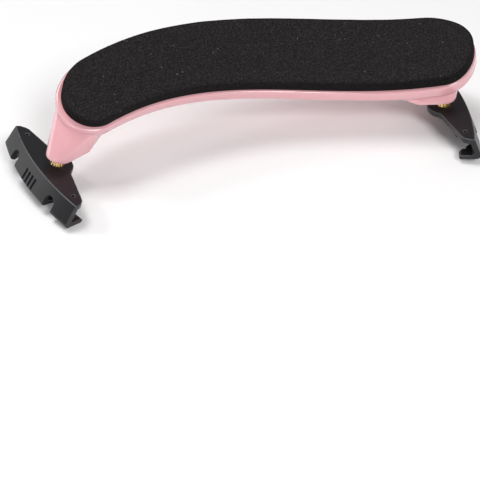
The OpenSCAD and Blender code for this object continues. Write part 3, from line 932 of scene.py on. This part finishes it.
class SHOULDERREST_OT_feet(bpy.types.Operator):
    """Model the two claw feet with the soft edges of a moulding"""
    bl_idname = "shoulder_rest.feet"
    bl_label = "Claw Feet"

    def execute(self, context):
        settings = context.scene.shoulder_rest
        material = foot_rubber(settings.finish)
        for side in (LEFT, RIGHT):
            name = SIDE_NAMES[side]
            bm = bmesh.new()
            bm.from_mesh(frame["nodes"][name + "_foot"].data)
            bmesh.ops.remove_doubles(bm, verts=bm.verts, dist=MERGE)
            mesh = soften(bm_to_mesh(bm, name + "_claw"), settings.foot.voxel, settings.foot.rounds)
            # Marks the upper edges for their painted highlight
            mark_edges(mesh, settings.foot.edge_start, settings.foot.edge_full)
            finish_piece(name + "_claw", mesh, material, name + "_claw_foot", name + "_foot")
        return {"FINISHED"}


# Stage

# The camera's direction and distance from the origin, where its view starts, and its sensor in millimetres
CAMERA_AZIMUTH = math.radians(-14.15)
CAMERA_ELEVATION = math.radians(37.37)
CAMERA_DISTANCE = 424 * MM
CAMERA_START = 10 * MM
SENSOR_WIDTH = 36
# The image's width, the camera's focal length and the origin's place in the image, in pixels
IMAGE_WIDTH = 480
FOCAL_PIXELS = 1171.9
ORIGIN_X, ORIGIN_Y = 254.9, 137.5

# Each lamp's name, its place and width in metres, and its power in watts
LAMPS = (
    ("key_lamp", (0.15, -0.72, 0.68), 0.3, 4.6),
    ("top_lamp", (-0.2, 0.1, 0.9), 0.35, 3.3),
    ("left_lamp", (-0.85, 0.32, 0.17), 0.5, 1.3),
    ("edge_lamp", (-0.6, 0.3, 0.6), 0.12, 0.8),
    ("low_lamp", (-0.55, -0.6, 0.12), 0.2, 0.8))
SURROUNDINGS_STRENGTH = 0.28
# Half the floor's width in metres
FLOOR_HALF = 3


def add_camera(context):
    """A camera that looks past the origin, so that the origin appears at its place in the image."""
    back = Vector((math.sin(CAMERA_AZIMUTH) * math.cos(CAMERA_ELEVATION),
                   -math.cos(CAMERA_AZIMUTH) * math.cos(CAMERA_ELEVATION), math.sin(CAMERA_ELEVATION)))
    camera = bpy.data.objects.new("camera", bpy.data.cameras.new("camera"))
    context.scene.collection.objects.link(camera)
    camera.data.sensor_width = SENSOR_WIDTH
    camera.data.lens = FOCAL_PIXELS / IMAGE_WIDTH * SENSOR_WIDTH
    camera.data.clip_start = CAMERA_START
    middle = IMAGE_WIDTH / 2
    sight = Vector((ORIGIN_X - middle, middle - ORIGIN_Y, -FOCAL_PIXELS)) / IMAGE_WIDTH
    aim = sight.rotation_difference(Vector((0, 0, -1)))
    camera.rotation_mode = "QUATERNION"
    camera.rotation_quaternion = (-back).to_track_quat("-Z", "Y") @ aim
    camera.location = back * CAMERA_DISTANCE
    context.scene.camera = camera


def add_lamp(context, name, place, size, power):
    """A soft square lamp that faces the origin."""
    lamp = bpy.data.lights.new(name, "AREA")
    lamp.size = size
    lamp.energy = power
    obj = bpy.data.objects.new(name, lamp)
    context.scene.collection.objects.link(obj)
    obj.visible_camera = False
    obj.location = place
    obj.rotation_mode = "QUATERNION"
    obj.rotation_quaternion = (-Vector(place)).to_track_quat("-Z", "Y")


def add_floor(finish):
    """A wide floor at the lowest point of the feet."""
    bm = bmesh.new()
    low = CAD_BOX[0].z
    bmesh.ops.create_grid(bm, x_segments=1, y_segments=1, size=FLOOR_HALF,
                          matrix=Matrix.Translation((0, 0, low)))
    floor = new_object("floor", bm_to_mesh(bm, "floor"))
    floor.data.materials.append(pale_floor(finish))


def add_surroundings(context):
    """Even white light from all round."""
    world = bpy.data.worlds.new("surroundings")
    world.use_nodes = True
    background = world.node_tree.nodes["Background"]
    background.inputs["Color"].default_value = (1, 1, 1, 1)
    background.inputs["Strength"].default_value = SURROUNDINGS_STRENGTH
    context.scene.world = world


class SHOULDERREST_OT_stage(bpy.types.Operator):
    """Set up the pale floor, soft lamps, even surroundings and the camera"""
    bl_idname = "shoulder_rest.stage"
    bl_label = "Stage"

    def execute(self, context):
        add_floor(context.scene.shoulder_rest.finish)
        for lamp in LAMPS:
            add_lamp(context, *lamp)
        add_surroundings(context)
        context.scene.view_settings.view_transform = "Standard"
        add_camera(context)
        return {"FINISHED"}


class SHOULDERREST_PT_panel(bpy.types.Panel):
    """Steps and settings of the shoulder rest"""
    bl_idname = "SHOULDERREST_PT_panel"
    bl_label = "Shoulder Rest"
    bl_space_type = "VIEW_3D"
    bl_region_type = "UI"
    bl_category = "Shoulder Rest"

    def draw(self, context):
        for step in STEPS:
            self.layout.operator(step.bl_idname)
        for name in ShoulderRestSettings.__annotations__:
            box = self.layout.box()
            box.label(text=name.title())
            group = getattr(context.scene.shoulder_rest, name)
            for setting in group.__annotations__:
                box.prop(group, setting)


STEPS = (SHOULDERREST_OT_body, SHOULDERREST_OT_pad, SHOULDERREST_OT_label, SHOULDERREST_OT_studs,
         SHOULDERREST_OT_feet, SHOULDERREST_OT_stage)
CLASSES = (PlateSizes, LegSizes, PadSizes, LabelSizes, StudSizes, FootSizes, Finishes,
           ShoulderRestSettings) + STEPS + (SHOULDERREST_PT_panel,)


def register():
    for cls in CLASSES:
        bpy.utils.register_class(cls)
    bpy.types.Scene.shoulder_rest = PointerProperty(type=ShoulderRestSettings)


def unregister():
    del bpy.types.Scene.shoulder_rest
    for cls in reversed(CLASSES):
        bpy.utils.unregister_class(cls)


def main():
    register()
    bpy.ops.shoulder_rest.body()
    bpy.ops.shoulder_rest.pad()
    bpy.ops.shoulder_rest.label()
    bpy.ops.shoulder_rest.studs()
    bpy.ops.shoulder_rest.feet()
    bpy.ops.shoulder_rest.stage()


if __name__ == "__main__":
    main()
